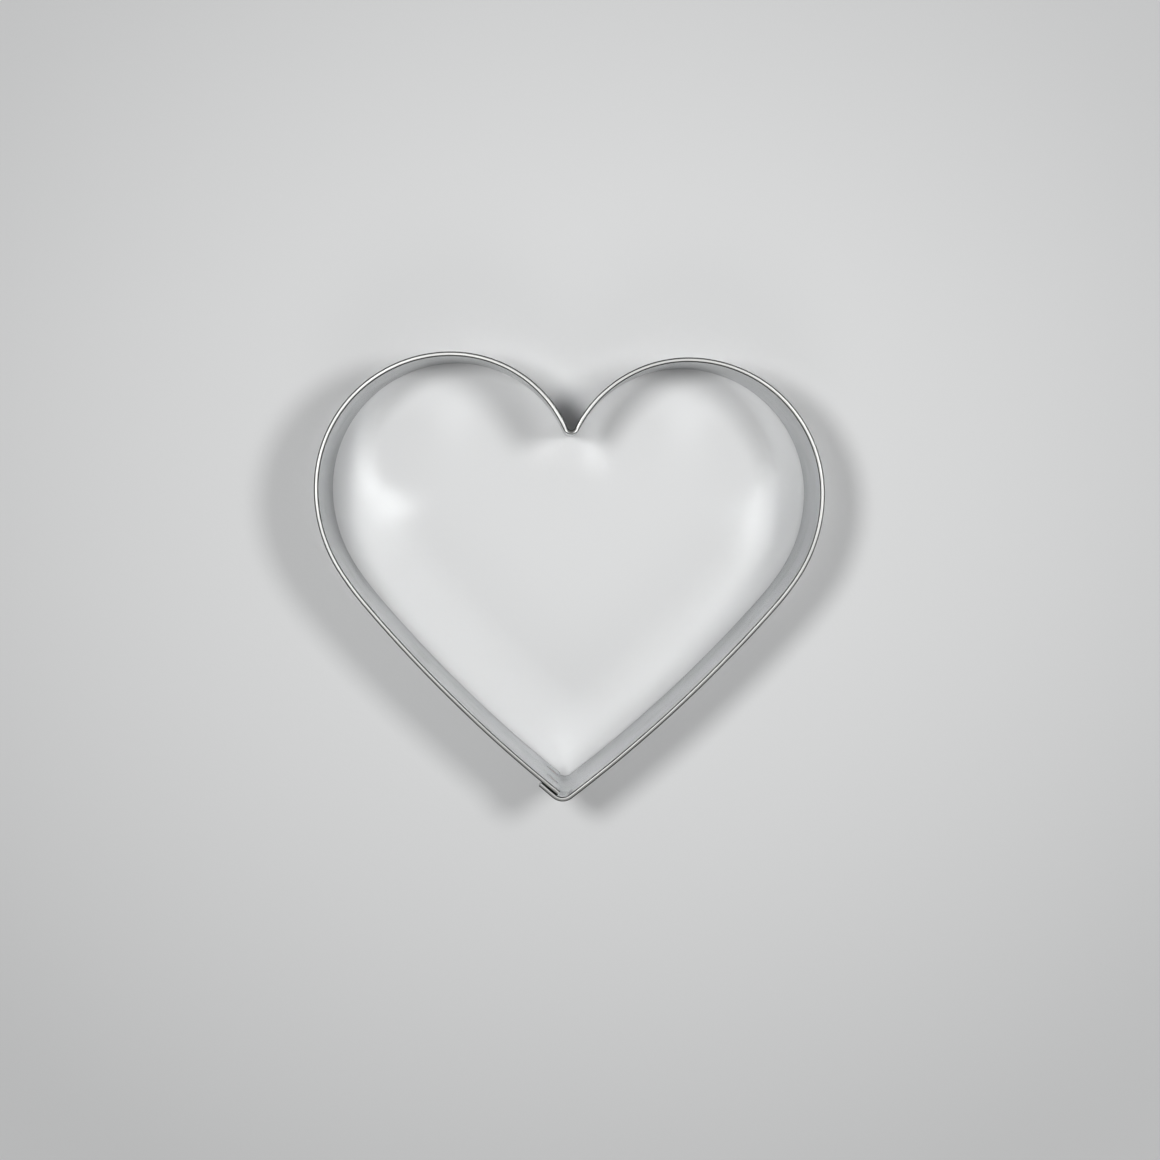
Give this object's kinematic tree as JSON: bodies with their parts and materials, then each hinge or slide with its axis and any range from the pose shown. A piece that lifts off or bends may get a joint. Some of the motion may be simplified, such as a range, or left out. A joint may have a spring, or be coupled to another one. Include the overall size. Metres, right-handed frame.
{
  "type": "cookie cutter",
  "caption": "Heart-shaped cookie cutter: a hemmed sheet-metal strip, bent tight in the cleft, lapped and spot welded at the tip.",
  "frame": {"origin": "under the middle of the outline, on the surface that the cutting edge rests on", "axes": "+X to the right across the two lobes, +Y from the tip towards the cleft, +Z from the cutting edge up to the hem"},
  "size_m": [0.0826, 0.0724, 0.022],
  "materials": {
    "band_steel": "bright rolled sheet",
    "weld_steel": "pressed, slightly heat tinted"
  },
  "bodies": {
    "root": {"heart_band": "band_steel", "upper_spot_weld": "weld_steel", "lower_spot_weld": "weld_steel"}
  },
  "joints": []
}
